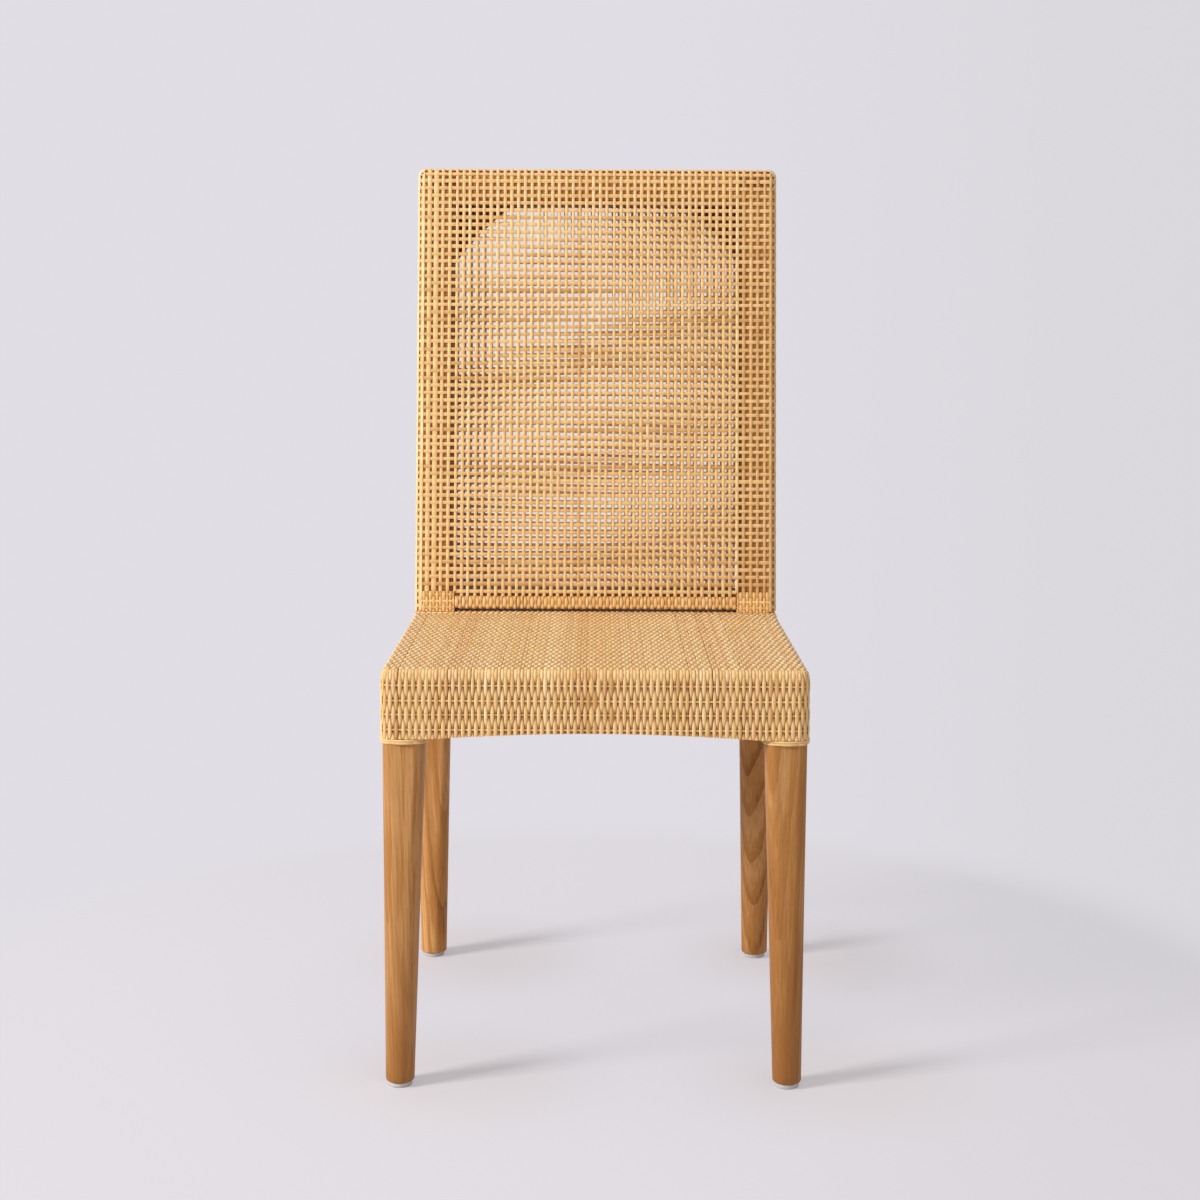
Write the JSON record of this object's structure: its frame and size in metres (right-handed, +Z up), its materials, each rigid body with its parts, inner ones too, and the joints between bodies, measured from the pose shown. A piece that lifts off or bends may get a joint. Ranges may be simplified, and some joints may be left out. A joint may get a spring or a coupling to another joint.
{
  "type": "cane back dining chair",
  "caption": "High-back dining chair: hardwood frame with tapered legs, seat box and aprons skinned in close woven cane, and a leaning back of open cane net on both faces.",
  "frame": {"origin": "on the floor, under the middle of the chair's box", "axes": "+Z up; the seat faces -Y and the back leans towards +Y; +X is to the right as seen from the front"},
  "size_m": [0.475, 0.544, 1.053],
  "materials": {
    "teak": "oiled teak, satin",
    "bare_wood": "unfinished hardwood",
    "cane": "natural rattan cane, satin",
    "nylon": "off-white nylon",
    "steel": "zinc-plated steel"
  },
  "bodies": {
    "root": {"front_leg_left": "teak", "front_leg_right": "teak", "rear_leg_left": "teak", "rear_leg_right": "teak", "front_seat_rail": "bare_wood", "rear_seat_rail": "bare_wood", "left_seat_rail": "bare_wood", "right_seat_rail": "bare_wood", "seat_slat_1": "bare_wood", "seat_slat_2": "bare_wood", "seat_slat_3": "bare_wood", "seat_slat_4": "bare_wood", "corner_block_front_left": "bare_wood", "corner_block_front_right": "bare_wood", "corner_block_rear_left": "bare_wood", "corner_block_rear_right": "bare_wood", "corner_block_front_left_bolt": "steel", "corner_block_front_right_bolt": "steel", "corner_block_rear_left_bolt": "steel", "corner_block_rear_right_bolt": "steel", "corner_block_front_left_washer": "steel", "corner_block_front_right_washer": "steel", "corner_block_rear_left_washer": "steel", "corner_block_rear_right_washer": "steel", "back_top_rail": "bare_wood", "back_bottom_rail": "bare_wood", "back_gusset_left": "bare_wood", "back_gusset_right": "bare_wood", "seat_top_cane": "cane", "front_apron_cane": "cane", "rear_apron_cane": "cane", "left_apron_cane": "cane", "right_apron_cane": "cane", "back_front_cane_net": "cane", "back_rear_cane_net": "cane", "back_edge_cane_left": "cane", "back_edge_cane_right": "cane", "back_edge_cane_top": "cane", "back_bottom_cane": "cane", "post_base_cane_left": "cane", "post_base_cane_right": "cane", "leg_band_front_left": "cane", "leg_band_front_right": "cane", "leg_band_rear_left": "cane", "leg_band_rear_right": "cane", "glide_front_left": "nylon", "glide_front_right": "nylon", "glide_rear_left": "nylon", "glide_rear_right": "nylon", "glide_nail_front_left": "steel", "glide_nail_front_right": "steel", "glide_nail_rear_left": "steel", "glide_nail_rear_right": "steel"}
  },
  "joints": []
}
